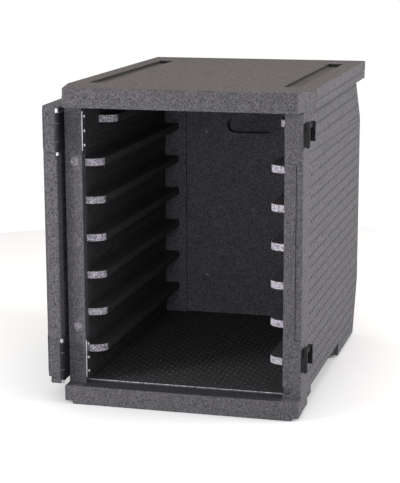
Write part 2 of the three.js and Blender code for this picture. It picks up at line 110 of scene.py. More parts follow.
VENT_PLACES = [(-111, 143), (-111, 512), (111, 143), (111, 512), (10, 317)]
JAMB_MARK_X = -235
JAMB_MARK_RADIUS = 10.5
JAMB_MARK_HEIGHTS = [166, 528]
STRIP_INNER = 242
STRIP_LOW = 166
STRIP_HIGH = 537
STRIP_DEPTH = 1.5
STRIP_LINE_DEPTHS = (JAMB_DEPTH - 5, JAMB_DEPTH + 3.5)
SLOT_INNER = 198
SLOT_OUTER = 238
SLOT_LOW = 49
SLOT_HIGH = 64
SLOT_DEPTH = 12

# ---- Door, where it sits when it is closed ----
DOOR_HALF_WIDTH = 255
DOOR_LOW = 42.5
DOOR_HIGH = 643
SLAB_FRONT = 1
SLAB_BACK = 27
PLUG_HALF_WIDTH = 209
PLUG_BACK = 47
RECESS_FRONT = 8
RECESS_DEPTH = 3
RECESS_HALF_HEIGHT = 43.5
HINGE_HEIGHTS = [96, 593]
LATCH_HEIGHTS = [123.5, 598.5]
PEG_HEIGHTS = [-9, 5]
PEG_DEPTH = 14
PEG_HOLE = 2.8
RIVET_PITCH = 30.6
RIVET_HOLE = 2.7
BODY_RIVET_DEPTH = 40
DOOR_RIVET_X = -198
LEAF_INNER = -170
LATCH_RIVET_DEPTH = 44
LATCH_RIVET_HEIGHTS = [-14, 4]

# ---- Foam surface ----
SOFT_EDGE = 3.2
FINE_EDGE = 0.9
VENT_SIZE = 3.6
VENT_SINK = 1.6
VENT_SIDES = 8
VENT_PITCH = 25
ROW_PITCH = 12.5
PART_LINE = 1.4
VISOR_LINE = 2.6
VISOR_LINE_LOW = 5
PLATE_BACK = 44.7
PLATE_INNER = -187.7
PLATE_HALF_HEIGHT = 41.8
RAIL_NOSE = 26

# ---- How far cutters run past the faces that they cut, in millimetres ----
OVERRUN = 5
PAST_SIDE = 290
PAST_ALL = 300
PAST_BACK = 50

# ---- Sunk vents: slots of their walls, plain, in painted shade or with a painted highlight, and the sizes of the smaller kinds ----
PLAIN, PAINTED_SHADE, PAINTED_HIGHLIGHT = 0, 1, 2
TOP_VENT = (2.4, 0.8)
VISOR_VENT = (2.2, 0.6)
FLOOR_VENT = (2.4, 0.5)
WALL_VENT = (2.6, 0.8)
EDGE_VENT = (2.4, 0.8)
VENT_MARGIN = 8
RECESS_LINE = 1.8
DISC_THICKNESS = 2.4
DISC_SINK = 0.4

# ---- Painted shade and painted highlight: how much darker or paler than the shell the foam is drawn, by place; the marks are paler in their own colour ----
CABIN_WALL_PAINTED_SHADE = 0.5
CABIN_FLOOR_PAINTED_SHADE = 0.32
GROOVE_WALL_PAINTED_SHADE = 0.03
FLOOR_LIP_PAINTED_HIGHLIGHT = 8.0
SILL_TOP_PAINTED_SHADE = 0.25
RAIL_PAINTED_SHADE = 0.45
RAIL_NOSE_WEAR_AND_HIGHLIGHT = 5.2
MARK_TONE = 2.3
VENT_PAINTED_SHADE = 0.22
FLOOR_VENT_PAINTED_HIGHLIGHT = 1.3
FOAM_COLOUR = (0.051, 0.047, 0.054)
BEAD_SCALE = 430
# Painted warm light on the top's upward faces.
TOP_PAINTED_WARM_LIGHT = (0.86, 0.74, 0.60)
ZONE_EDGE = 0.0004

# ---- Stage, in metres ----
FLOOR_REACH = 1.7
FLOOR_GREY = 0.60


# ---- Mesh helpers, in millimetres with depths from the front plane ----
def point(x, depth, z):
    """A place in the row frame, from millimetres."""
    return Vector((x * MM, FRONT + depth * MM, z * MM))


def mesh_object(name, bm):
    bmesh.ops.recalc_face_normals(bm, faces=bm.faces)
    mesh = bpy.data.meshes.new(name)
    bm.to_mesh(mesh)
    bm.free()
    made = bpy.data.objects.new(name, mesh)
    bpy.context.scene.collection.objects.link(made)
    return made


def soften(bm, edges, width, segments=3):
    bmesh.ops.bevel(
        bm, geom=edges, offset=width * MM, segments=segments, profile=0.5, affect="EDGES",
        clamp_overlap=True,
    )


def prism(name, lower, upper, edge=0.0, segments=3):
    """A closed solid between two outlines with the same number of points."""
    bm = bmesh.new()
    rings = [[bm.verts.new(p) for p in outline] for outline in (lower, upper)]
    bm.faces.new(rings[0][::-1])
    bm.faces.new(rings[1])
    count = len(lower)
    for i in range(count):
        j = (i + 1) % count
        bm.faces.new((rings[0][i], rings[0][j], rings[1][j], rings[1][i]))
    if edge:
        soften(bm, list(bm.edges), edge, segments)
    return mesh_object(name, bm)


def plan(name, outline, z0, z1, edge=0.0):
    """A prism that stands on an outline of (x, depth) points."""
    lower = [point(x, depth, z0) for x, depth in outline]
    upper = [point(x, depth, z1) for x, depth in outline]
    return prism(name, lower, upper, edge)


def block(name, x0, x1, depth0, depth1, z0, z1, edge=0.0):
    return plan(name, [(x0, depth0), (x1, depth0), (x1, depth1), (x0, depth1)], z0, z1, edge)


def arc(centre, radius, start, end, steps=8):
    """Points on an arc about a centre, between two angles in degrees."""
    angles = [math.radians(start + (end - start) * i / steps) for i in range(steps + 1)]
    return [(centre[0] + radius * math.cos(a), centre[1] + radius * math.sin(a)) for a in angles]


def rod(name, axis, radius, start, end, at, steps=24):
    """A round bar along X, or along the depth; at holds its two other places."""
    circle = arc(at, radius, 0, 360, steps)[:-1]
    if axis == "x":
        ends = [[point(place, depth, z) for depth, z in circle] for place in (start, end)]
    else:
        ends = [[point(x, place, z) for x, z in circle] for place in (start, end)]
    return prism(name, *ends)


def stadium_outline(x0, x1, z0, z1):
    radius = (z1 - z0) / 2
    middle = (z0 + z1) / 2
    return arc((x1 - radius, middle), radius, -90, 90) + arc((x0 + radius, middle), radius, 90, 270)


def front_prism(name, outline, depth0, depth1, edge=0.0):
    """A prism that runs back from an outline of (x, z) points."""
    front = [point(x, depth0, z) for x, z in outline]
    back = [point(x, depth1, z) for x, z in outline]
    return prism(name, front, back, edge, segments=2)


def combine(target, others, operation):
    """Adds the other solids to the target, or takes them away from it."""
    for other in others:
        step = target.modifiers.new(operation.lower(), "BOOLEAN")
        step.operation = operation
        step.solver = "MANIFOLD"
        step.object = other
        bpy.context.view_layer.update()
        evaluated = target.evaluated_get(bpy.context.evaluated_depsgraph_get())
        result = bpy.data.meshes.new_from_object(evaluated)
        target.modifiers.clear()
        target.data = result
        bpy.data.objects.remove(other)


def finish_edges(made, width, segments=2, angle=40):
    """Rounds every remaining sharp edge a little and shades the faces evenly."""
    bevel = made.modifiers.new("edges", "BEVEL")
    bevel.width = width * MM
    bevel.segments = segments
    bevel.limit_method = "ANGLE"
    bevel.angle_limit = math.radians(angle)
    bevel.use_clamp_overlap = True
    bevel.harden_normals = False
    made.data.shade_smooth()
    made.data.set_sharp_from_angle(angle=math.radians(angle))
    weighted = made.modifiers.new("even_shading", "WEIGHTED_NORMAL")
    weighted.keep_sharp = True
    weighted.weight = 100


# ---- Materials ----
# The colour sockets of a Mix node, among those for its other data types
MIX_SHARE, MIX_FIRST, MIX_SECOND, MIX_RESULT = 0, 6, 7, 2


class Nodes:
    """Short names for building one procedural material."""

    def __init__(self, name):
        self.material = bpy.data.materials.new(name)
        self.material.use_nodes = True
        self.tree = self.material.node_tree
        self.shader = self.tree.nodes["Principled BSDF"]
        self.place = self.tree.nodes.new("ShaderNodeTexCoord").outputs["Object"]

    def add(self, kind, inputs=None, **settings):
        node = self.tree.nodes.new(kind)
        for key, value in settings.items():
            setattr(node, key, value)
        for key, value in (inputs or {}).items():
            if isinstance(value, bpy.types.NodeSocket):
                self.tree.links.new(value, node.inputs[key])
            else:
                node.inputs[key].default_value = value
        return node

    def noise(self, scale, detail=3, roughness=0.6):
        inputs = {"Vector": self.place, "Scale": scale, "Detail": detail, "Roughness": roughness}
        return self.add("ShaderNodeTexNoise", inputs).outputs["Fac"]

    def cells(self, scale, feature, output="Distance"):
        inputs = {"Vector": self.place, "Scale": scale}
        return self.add("ShaderNodeTexVoronoi", inputs, feature=feature).outputs[output]

    def remap(self, value, low, high, to_low, to_high):
        keys = {"Value": value, "From Min": low, "From Max": high, "To Min": to_low, "To Max": to_high}
        return self.add("ShaderNodeMapRange", keys).outputs["Result"]

    def math(self, operation, a, b):
        return self.add("ShaderNodeMath", {0: a, 1: b}, operation=operation).outputs[0]

    def times(self, value, *others):
        """The product of several values."""
        for other in others:
            value = self.math("MULTIPLY", value, other)
        return value

    def product(self, first, second, share=1.0):
        """Two colours multiplied together where the share is one; each may be fixed or vary."""
        mix = self.tree.nodes.new("ShaderNodeMix")
        mix.data_type = "RGBA"
        mix.blend_type = "MULTIPLY"
        for socket, value in ((MIX_SHARE, share), (MIX_FIRST, first), (MIX_SECOND, second)):
            if isinstance(value, bpy.types.NodeSocket):
                self.tree.links.new(value, mix.inputs[socket])
            else:
                mix.inputs[socket].default_value = value
        return mix.outputs[MIX_RESULT]

    def scaled(self, colour, amount):
        """A colour made brighter or darker by a varying amount."""
        grey = self.add("ShaderNodeCombineColor", {"Red": amount, "Green": amount, "Blue": amount})
        return self.product((*colour, 1), grey.outputs[0])

    def edge_wear_and_highlight(self, radius, amount):
        """One on flat stretches, rising to an amount on edges: paler from rubbing where the amount is
        small, a painted highlight where it is large, as on the hinge.
        """
        rounded = self.add("ShaderNodeBevel", {"Radius": radius * MM}, samples=4).outputs["Normal"]
        flat = self.add("ShaderNodeNewGeometry").outputs["Normal"]
        facing = self.add("ShaderNodeVectorMath", {0: rounded, 1: flat}, operation="DOT_PRODUCT")
        return self.remap(facing.outputs["Value"], 0.75, 0.97, amount, 1.0)

    def between(self, axis, low, high, soft):
        """One where a coordinate lies between two values in metres, falling to zero outside."""
        value = self.add("ShaderNodeSeparateXYZ", {"Vector": self.place}).outputs[axis]
        rising = self.remap(value, low - soft, low + soft, 0.0, 1.0)
        falling = self.remap(value, high - soft, high + soft, 1.0, 0.0)
        return self.math("MULTIPLY", rising, falling)

    def zone(self, half_width, depths, heights):
        """One inside a box that is centred on X, given in millimetres with depths from the front plane."""
        across = self.between("X", -half_width * MM, half_width * MM, ZONE_EDGE)
        deep = self.between("Y", FRONT + depths[0] * MM, FRONT + depths[1] * MM, ZONE_EDGE)
        tall = self.between("Z", heights[0] * MM, heights[1] * MM, ZONE_EDGE)
        return self.times(across, deep, tall)

    def upward(self):
        """The upward part of the surface's direction."""
        normal = self.add("ShaderNodeNewGeometry").outputs["Normal"]
        return self.add("ShaderNodeSeparateXYZ", {"Vector": normal}).outputs["Z"]

    def bump(self, height, strength, distance):
        inputs = {"Height": height, "Strength": strength, "Distance": distance}
        return self.add("ShaderNodeBump", inputs).outputs["Normal"]

    def link(self, value, socket):
        self.tree.links.new(value, self.shader.inputs[socket])


def foam_tone(n, bead):
    """Close-packed beads with fine seams, mottled from bead to bead: brightness, and a height."""
    seam = n.remap(n.cells(bead, "DISTANCE_TO_EDGE"), 0.0, 0.16, 0.0, 1.0)
    dome = n.remap(n.cells(bead, "F1"), 0.0, 0.6, 1.0, 0.0)
    per_bead = n.remap(n.cells(bead, "F1", "Color"), 0.0, 1.0, 0.10, 1.95)
    fine = n.remap(n.noise(900, 2), 0.3, 0.7, 0.60, 1.40)
    broad = n.remap(n.noise(34, 4), 0.3, 0.7, 0.88, 1.12)
    dark_seam = n.remap(seam, 0.0, 1.0, 0.62, 1.0)
    tone = n.times(per_bead, fine, n.times(broad, dark_seam))
    height = n.math("ADD", n.math("MULTIPLY", dome, 0.6), n.math("MULTIPLY", seam, 0.4))
    return tone, n.math("ADD", height, n.math("MULTIPLY", n.noise(800, 2), 0.4))


def foam_finish(n, colour, tone, height):
    """Matt foam of one colour, varied by a tone and roughened by a height."""
    n.link(n.scaled(colour, n.math("MULTIPLY", tone, n.edge_wear_and_highlight(1.5, 1.25))), "Base Color")
    n.link(n.remap(n.noise(180, 3), 0.3, 0.7, 0.62, 0.84), "Roughness")
    n.link(n.bump(height, 1.0, 0.0008), "Normal")
    n.shader.inputs["Specular IOR Level"].default_value = 0.4
    return n.material


def shell_foam():
    """Foam with painted shade in the cabin, on the sill top and on the groove walls, a painted highlight on
    the floor's lip, and painted warm light tinting its top brown.
    """
    n = Nodes("bead_foam")
    tone, height = foam_tone(n, BEAD_SCALE)
    wall = CAVITY_HALF_WIDTH + 0.5
    inside = (REBATE_DEPTH, 700)
    lip_depths = (REBATE_DEPTH - 1, REBATE_DEPTH + 1.6)
    upward = n.upward()
    cabin = n.zone(wall, inside, (SILL_TOP - 1, CAVITY_CEILING + 1))
    clear_of_walls = n.between("X", -(wall - 2.5) * MM, (wall - 2.5) * MM, ZONE_EDGE)
    groove = n.zone(GROOVE_OUTER + 2, (100, 680), (GROOVE_FLOOR + 0.8, HEIGHT / MM - 0.8))
    zones = [
        # Painted shade on the cabin's side walls.
        (n.times(cabin, n.math("SUBTRACT", 1.0, clear_of_walls)), CABIN_WALL_PAINTED_SHADE),
        # Painted shade on the cabin floor.
        (n.zone(wall, inside, (SILL_TOP - 1, CAVITY_FLOOR + 1)), CABIN_FLOOR_PAINTED_SHADE),
        # Painted shade on the groove walls.
        (n.times(groove, n.remap(upward, 0.5, 0.9, 1.0, 0.0)), GROOVE_WALL_PAINTED_SHADE),
        # Painted highlight along the cabin floor's front lip.
        (n.zone(wall, lip_depths, (CAVITY_FLOOR - 1.6, CAVITY_FLOOR + 1)), FLOOR_LIP_PAINTED_HIGHLIGHT),
        # Painted shade on the sill's top.
        (n.zone(wall, (4, REBATE_DEPTH - 1), (SILL_TOP - 1, SILL_TOP + 1)), SILL_TOP_PAINTED_SHADE),
    ]
    for place, amount in zones:
        tone = n.times(tone, n.remap(place, 0.0, 1.0, 1.0, amount))
    foam_finish(n, FOAM_COLOUR, tone, height)
    plain = n.shader.inputs["Base Color"].links[0].from_socket
    # Painted warm light: the top's upward faces are tinted brown.
    on_top = n.between("Z", HEIGHT - 0.012, HEIGHT + 0.01, 0.0015)
    painted_warm_light = n.times(on_top, n.remap(upward, 0.6, 0.9, 0.0, 1.0))
    n.link(n.product(plain, (*TOP_PAINTED_WARM_LIGHT, 1), painted_warm_light), "Base Color")
    return n.material


def rail_foam():
    """Rails in painted shade, with noses paler from rubbing and a painted highlight on their upright faces;
    the top pair's noses stand further back than the others.
    """
    n = Nodes("rail_foam")
    tone, height = foam_tone(n, BEAD_SCALE)
    upright = n.remap(n.math("ABSOLUTE", n.upward(), 0.0), 0.35, 0.75, 1.0, 0.0)
    reach = 0.9 * RAIL_NOSE * MM
    soft = 0.002
    at_nose = n.between("Y", FRONT, rail_low.y + reach, soft)
    at_top_nose = n.between("Y", top_rail_low.y - soft, top_rail_low.y + reach, soft)
    on_top_rail = n.between("Z", top_rail_low.z - 0.005, top_rail_low.z + 0.03, soft)
    # Painted highlight, with some rubbing, on the noses' upright faces; the rest of each rail in painted
    # shade.
    pale = n.math("ADD", n.times(at_nose, upright), n.times(at_top_nose, upright, on_top_rail))
    shade = n.remap(pale, 0.0, 1.0, RAIL_PAINTED_SHADE, RAIL_NOSE_WEAR_AND_HIGHLIGHT)
    return foam_finish(n, FOAM_COLOUR, n.times(tone, shade), height)


def plain_foam(name, share):
    """The same foam all over, paler or darker than the shell by a share."""
    n = Nodes(name)
    tone, height = foam_tone(n, BEAD_SCALE)
    return foam_finish(n, tuple(share * c for c in FOAM_COLOUR), tone, height)


def nylon_material(name, gloss, rub_and_highlight):
    """Black moulded nylon with a fine spark-eroded grain and paler edges: from rubbing, and on the hinge a
    painted highlight.
    """
    n = Nodes(name)
    grain = n.noise(2600, 2)
    tone = n.remap(n.noise(60, 4), 0.3, 0.7, 0.8, 1.25)
    wear_and_highlight = n.edge_wear_and_highlight(1.0, rub_and_highlight)
    n.link(n.scaled((0.006, 0.006, 0.007), n.times(tone, wear_and_highlight)), "Base Color")
    n.link(n.remap(n.noise(140, 3), 0.3, 0.7, 0.95 - gloss, 1.1 - gloss), "Roughness")
    n.link(n.bump(grain, 0.25, 0.0002), "Normal")
    n.shader.inputs["Specular IOR Level"].default_value = 0.12
    return n.material


def steel_material(name, colour, low, high):
    """Steel brushed along its length, with faint smears."""
    n = Nodes(name)
    stretch = n.add("ShaderNodeMapping", {"Vector": n.place, "Scale": (1.0, 1.0, 0.03)}).outputs["Vector"]
    brushed = n.add("ShaderNodeTexNoise", {"Vector": stretch, "Scale": 2200, "Detail": 3}).outputs["Fac"]
    tone = n.remap(n.noise(40, 4), 0.3, 0.7, 0.86, 1.08)
    n.link(n.scaled(colour, n.math("MULTIPLY", tone, n.edge_wear_and_highlight(0.5, 1.2))), "Base Color")
    n.link(n.remap(brushed, 0.3, 0.7, low, high), "Roughness")
    n.link(n.bump(brushed, 0.12, 0.0001), "Normal")
    n.shader.inputs["Metallic"].default_value = 1.0
    return n.material


foam = shell_foam()
rail_skin = rail_foam()
mark_skin = plain_foam("mark_foam", MARK_TONE)
# Painted shade in the walls of the sunk vents.
vent_shade_skin = plain_foam("vent_painted_shade_foam", VENT_PAINTED_SHADE)
# Painted highlight on the walls of the floor vents.
floor_vent_highlight_skin = plain_foam("floor_vent_painted_highlight_foam", FLOOR_VENT_PAINTED_HIGHLIGHT)
# Painted highlight on the hinge's edges, forty-five times the nylon's colour.
hinge_nylon = nylon_material("hinge_nylon", 0.55, 45.0)
latch_nylon = nylon_material("latch_nylon", 0.40, 3.0)
steel = steel_material("stainless_steel", (0.36, 0.37, 0.38), 0.28, 0.45)
rivet_steel = steel_material("rivet_steel", (0.85, 0.85, 0.86), 0.45, 0.60)
black_steel = steel_material("black_oxide_steel", (0.02, 0.02, 0.022), 0.45, 0.60)


def dress(made, material, body, nodes):
    """Gives a finished piece its material and its body, and hides the CAD nodes that it stands for."""
    if not made.data.materials:
        made.data.materials.append(material)
    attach(made, body)
    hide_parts(*nodes)


# ---- Body ----
def body_core():
    """The tapered walls, with the chamfered back foot and the back's lean under the roof."""
    walls = plan(
        "carrier_body",
        [
            (-JAMB_HALF_WIDTH, JAMB_DEPTH),
            (JAMB_HALF_WIDTH, JAMB_DEPTH),
            (BACK_HALF_WIDTH, BODY_BACK),
            (-BACK_HALF_WIDTH, BODY_BACK),
        ],
        SKIRT_HEIGHT,
        ROOF_UNDERSIDE,
        SOFT_EDGE,
    )
    crease_back = GRIP_CREASE_FRONT - GRIP_CREASE_DROP
    chamfer = [(BODY_FOOT_BACK, 0), (BODY_BACK, BACK_CHAMFER_TOP), (BODY_BACK + PAST_BACK, 0)]
    lean_top = 2 * ROOF_UNDERSIDE - crease_back
    lean = [
        (BODY_BACK, crease_back),
        (BODY_BACK + PAST_BACK, crease_back),
        (BODY_BACK + PAST_BACK, lean_top),
        (BODY_BACK - 2 * GRIP_LEAN, lean_top),
    ]
    cutters = []
    for label, outline in (("foot", chamfer), ("lean", lean)):
        left = [point(-PAST_ALL, depth, z) for depth, z in outline]
        right = [point(PAST_ALL, depth, z) for depth, z in outline]
        cutters.append(prism(f"cut_{label}", left, right))
    combine(walls, cutters, "DIFFERENCE")
    return walls


def roof():
    """The roof slab: a short visor at the front, flared side edges and a slightly recessed lower band."""
    half = HALF_WIDTH / MM
    depth = (body_high.y - FRONT) / MM
    taper = VISOR_TAPER_DEPTH

    def outline(inset):
        return [
            (-VISOR_HALF_WIDTH, 0),
            (VISOR_HALF_WIDTH, 0),
            (half - inset, taper),
            (half - inset, depth - inset),
            (-half + inset, depth - inset),
            (-half + inset, taper),
        ]

    top = HEIGHT / MM
    lower = plan("roof_band", outline(BAND_RECESS), ROOF_UNDERSIDE, BAND_TOP + 8, 0.8)
    upper = plan("roof_top", outline(0), BAND_TOP, top, SOFT_EDGE)
    return [lower, upper]


def crease_height(depth):
    """How high the crease under the grip is, which falls towards the back."""
    return GRIP_CREASE_FRONT - GRIP_CREASE_DROP * (depth - GRIP_START) / (ROOF_BACK - GRIP_START)


def grip_wedge(side):
    """The wedge that leans a side wall inwards under the roof's edge."""
    ends = []
    for depth in (GRIP_START, ROOF_BACK):
        crease = crease_height(depth)
        rise = ROOF_UNDERSIDE - GRIP_CREASE_FRONT
        top = ROOF_UNDERSIDE - 0.05
        inner = BACK_HALF_WIDTH - GRIP_LEAN * (top - crease) / rise
        outer = BACK_HALF_WIDTH + 20
        section = [(outer, crease), (BACK_HALF_WIDTH, crease), (inner, top), (outer, top)]
        ends.append([point(side * x, depth, z) for x, z in section])
    return prism(f"cut_grip_{side}", *ends)


def hand_hold(side):
    """The scooped hand hold under a long side, with the low step in front of it."""
    outer = PAST_SIDE
    outline = [(outer, HOLD_START), (outer, HOLD_END)]
    outline += arc((HOLD_INNER + HOLD_RADIUS, HOLD_END - HOLD_RADIUS), HOLD_RADIUS, 90, 180)
    outline += arc((HOLD_INNER + HOLD_RADIUS, HOLD_START + HOLD_RADIUS), HOLD_RADIUS, 180, 270)
    mirrored = [(side * x, depth) for x, depth in outline]
    step = sorted((side * HOLD_INNER, side * outer))
    return [
        plan(f"cut_hold_{side}", mirrored, -OVERRUN, HOLD_TOP),
        block(f"cut_step_{side}", *step, FOOT_STEP_START, HOLD_START + 1, -OVERRUN, FOOT_STEP_TOP),
    ]


def body_cutters():
    """Every hollow in the body, each with the rounded inner edges that a foam mould leaves."""
    cavity = block(
        "cut_cavity",
        -CAVITY_HALF_WIDTH, CAVITY_HALF_WIDTH, -40, CAVITY_BACK, CAVITY_FLOOR, CAVITY_CEILING, 3,
    )
    rebate = block(
        "cut_rebate",
        -CAVITY_HALF_WIDTH, CAVITY_HALF_WIDTH, -30, REBATE_DEPTH, SILL_TOP, ROOF_UNDERSIDE, 0.8,
    )
    pocket = front_prism(
        "cut_pocket",
        stadium_outline(-POCKET_HALF_WIDTH, POCKET_HALF_WIDTH, POCKET_LOW, POCKET_HIGH),
        CAVITY_BACK - 6,
        CAVITY_BACK + POCKET_DEPTH,
        1.5,
    )
    slot = front_prism(
        "cut_slot",
        stadium_outline(SLOT_INNER, SLOT_OUTER, SLOT_LOW, SLOT_HIGH),
        JAMB_DEPTH - OVERRUN,
        JAMB_DEPTH + SLOT_DEPTH,
    )
    strip = block(
        "cut_strip",
        STRIP_INNER, PAST_SIDE, JAMB_DEPTH - OVERRUN, JAMB_DEPTH + STRIP_DEPTH, STRIP_LOW, STRIP_HIGH,
    )
    strip_lines = [
        block(f"cut_strip_{name}", STRIP_INNER, outer, *STRIP_LINE_DEPTHS, low, high)
        for name, outer, low, high in (
            ("side", STRIP_INNER + PART_LINE, STRIP_LOW, STRIP_HIGH),
            ("top", PAST_SIDE, STRIP_HIGH - PART_LINE, STRIP_HIGH),
            ("foot", PAST_SIDE, STRIP_LOW, STRIP_LOW + PART_LINE),
        )
    ]
    grooves = [
        block(f"cut_groove_{side}", *sorted((side * GROOVE_INNER, side * GROOVE_OUTER)),
              GROOVE_START, GROOVE_END, GROOVE_FLOOR, HEIGHT / MM + 20, 2)
        for side in (-1, 1)
    ]
    vents = [
        rod(f"cut_vent_{i}", "y", VENT_RADIUS, CAVITY_BACK - 2, CAVITY_BACK + 2.5, place)
        for i, place in enumerate(VENT_PLACES)
    ]
    marks = [
        rod(f"cut_mark_{z}", "y", JAMB_MARK_RADIUS, JAMB_DEPTH - 2, JAMB_DEPTH + 1.2, (JAMB_MARK_X, z))
        for z in JAMB_MARK_HEIGHTS
    ]
    rivet_places = [(-1, BODY_RIVET_DEPTH, z + k * RIVET_PITCH) for z in HINGE_HEIGHTS for k in (-1, 0, 1)]
    rivet_places += [(1, LATCH_RIVET_DEPTH, z + k) for z in LATCH_HEIGHTS for k in LATCH_RIVET_HEIGHTS]
    holes = [
        rod(f"cut_rivet_{i}", "x", RIVET_HOLE, *sorted((side * 210, side * 275)), (depth, z))
        for i, (side, depth, z) in enumerate(rivet_places)
    ]
    holds = hand_hold(1) + hand_hold(-1)
    wedges = [grip_wedge(1), grip_wedge(-1)]
    hollows = [cavity, rebate, pocket, slot, strip]
    return hollows + strip_lines + grooves + vents + marks + holes + holds + wedges


def build_rails():
    """Seven pairs of tray rails that grow out of the walls, each with a blunt rounded nose."""
    for node in (name for name in frame["nodes"] if name.startswith("tray_rail")):
        low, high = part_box(node)
        side = 1 if low.x > 0 else -1
        start = (low.y - FRONT) / MM
        end = (high.y - FRONT) / MM
        wall = CAVITY_HALF_WIDTH + 1.5
        reach = (high.x - low.x) / MM
        turns = [math.radians(a) for a in range(0, 91, 9)]
        nose = [
            (wall - 1.8 - reach * math.sin(a), start + RAIL_NOSE * (1 - math.cos(a)))
            for a in turns
        ]
        outline = [(wall, start), *nose, (wall - 1.8 - reach, end), (wall, end)]
        mirrored = [(side * x, depth) for x, depth in outline]
        rail = plan(f"{node}_moulded", mirrored, low.z / MM, high.z / MM)
        finish_edges(rail, 1.8, segments=3)
        dress(rail, rail_skin, "carrier", [node])


def part_lines():
    """The fine lines that the mould leaves: behind the visor, along the band and along the crease."""
    lines = []
    half = HALF_WIDTH / MM
    line = PART_LINE
    for side in (-1, 1):
        behind = sorted((side * (half - 3.5), side * (half + OVERRUN)))
        for width, low, high in ((VISOR_LINE, BAND_TOP - 1, 700), (VISOR_LINE_LOW, 640, BAND_TOP)):
            start = VISOR_TAPER_DEPTH
            lines.append(block(f"line_visor_{side}_{low}", *behind, start, start + width, low, high))
        band = sorted((side * (half - BAND_RECESS - line), side * (half + OVERRUN)))
        depths = (VISOR_TAPER_DEPTH, ROOF_BACK + 10)
        lines.append(block(f"line_band_{side}", *band, *depths, BAND_TOP - line, BAND_TOP))
        ends = []
        for depth, z in ((GRIP_START, GRIP_CREASE_FRONT), (BODY_BACK + 2, crease_height(BODY_BACK))):
            inner = side_x(depth, z) - line
            section = [(inner, z - line), (PAST_SIDE, z - line), (PAST_SIDE, z), (inner, z)]
            ends.append([point(side * x, depth, height) for x, height in section])
        lines.append(prism(f"line_crease_{side}", *ends))
    return lines


def corner_posts():
    return [
        block(f"post_{side}", *sorted((side * POST_INNER, side * (CAVITY_HALF_WIDTH + 2))),
              POST_FRONT, CAVITY_BACK + 2, CAVITY_FLOOR - 2, CAVITY_CEILING + 2, 1.5)
        for side in (-1, 1)
    ]


def vent_rows(first, last, low, high, pitch, skip, row_pitch=None):
    """Places of the vents in staggered rows, leaving out those that a test turns down."""
    places = []
    row_pitch = row_pitch or pitch
    columns = int((last - first) / pitch) + 1
    rows = int((high - low) / row_pitch) + 1
    for row in range(rows):
        for column in range(columns):
            across = first + (column + (row % 2) / 2) * pitch
            along = low + row * row_pitch
            if across <= last and not skip(across, along):
                places.append((across, along))
    return places


def side_x(depth, z):
    """Where a side wall's face is, at a depth and a height."""
    share = (depth - JAMB_DEPTH) / (BODY_BACK - JAMB_DEPTH)
    wall = JAMB_HALF_WIDTH + share * (BACK_HALF_WIDTH - JAMB_HALF_WIDTH)
    crease = crease_height(depth)
    leaning = BACK_HALF_WIDTH - GRIP_LEAN * (z - crease) / (ROOF_UNDERSIDE - GRIP_CREASE_FRONT)
    return min(wall, leaning) if depth > GRIP_START and z > crease else wall


def vent_cutter(name, centres, across, along, outward, skin, size=VENT_SIZE, sink=VENT_SINK):
    """Round steam vents sunk into a face; skin is the material slot that their walls take."""
    bm = bmesh.new()
    turns = [2 * math.pi * i / VENT_SIDES for i in range(VENT_SIDES)]
    ring = [(across * math.cos(turn) + along * math.sin(turn)) * size * MM for turn in turns]
    for centre in centres:
        rings = [[bm.verts.new(centre + p + outward * reach * MM) for p in ring] for reach in (-sink, sink)]
        bm.faces.new(rings[0][::-1])
        bm.faces.new(rings[1])
        for i in range(VENT_SIDES):
            j = (i + 1) % VENT_SIDES
            bm.faces.new((rings[0][i], rings[0][j], rings[1][j], rings[1][i]))
    for face in bm.faces:
        face.material_index = skin
    made = mesh_object(name, bm)
    give_slots(made)
    return made


def give_slots(made):
    """The foam, and the two skins that steam vents take: painted shade, and a painted highlight on the
    floor.
    """
    for material in (foam, vent_shade_skin, floor_vent_highlight_skin):
        made.data.materials.append(material)


X, Y, Z = Vector((1, 0, 0)), Vector((0, 1, 0)), Vector((0, 0, 1))


def nowhere(across, along):
    """The test for a face that has vents all over."""
    return False


def outside_vents():
    """Steam vents in the two long sides, the back, the roof and its band."""
    cutters = []

    def off_side(depth, z):
        in_hold = z < HOLD_TOP + 12 and HOLD_START - 15 < depth < HOLD_END + 15
        in_chamfer = z < BACK_CHAMFER_TOP * (depth - BODY_FOOT_BACK) / (BODY_BACK - BODY_FOOT_BACK) + 12
        on_crease = abs(z - crease_height(depth)) < VENT_MARGIN
        return in_hold or (depth > BODY_FOOT_BACK - VENT_MARGIN and in_chamfer) or on_crease

    places = vent_rows(108, 742, 30, 634, VENT_PITCH, off_side)
    for side in (1, -1):
        centres = [point(side * side_x(depth, z), depth, z) for depth, z in places]
        cutters.append(vent_cutter(f"cut_side_vents_{side}", centres, Y, Z, side * X, PAINTED_SHADE))

    def in_groove(x, depth):
        across = GROOVE_INNER - VENT_MARGIN < abs(x) < GROOVE_OUTER + VENT_MARGIN
        return across and GROOVE_START - VENT_MARGIN < depth < GROOVE_END + VENT_MARGIN

    top = vent_rows(-252, 252, 18, 752, VENT_PITCH, in_groove)
    centres = [point(x, depth, HEIGHT / MM) for x, depth in top]
    cutters.append(vent_cutter("cut_top_vents", centres, X, Y, Z, PLAIN, *TOP_VENT))
    visor = [point(x, 0, (BAND_TOP + HEIGHT / MM) / 2 - 8) for x in range(-225, 226, VENT_PITCH)]
    cutters.append(vent_cutter("cut_visor_vents", visor, X, Z, -Y, PAINTED_SHADE, *VISOR_VENT))
    back = vent_rows(-246, 246, 165, 530, VENT_PITCH, nowhere)
    centres = [point(x, BODY_BACK, z) for x, z in back]
    cutters.append(vent_cutter("cut_back_vents", centres, X, Z, Y, PAINTED_SHADE))
    return cutters


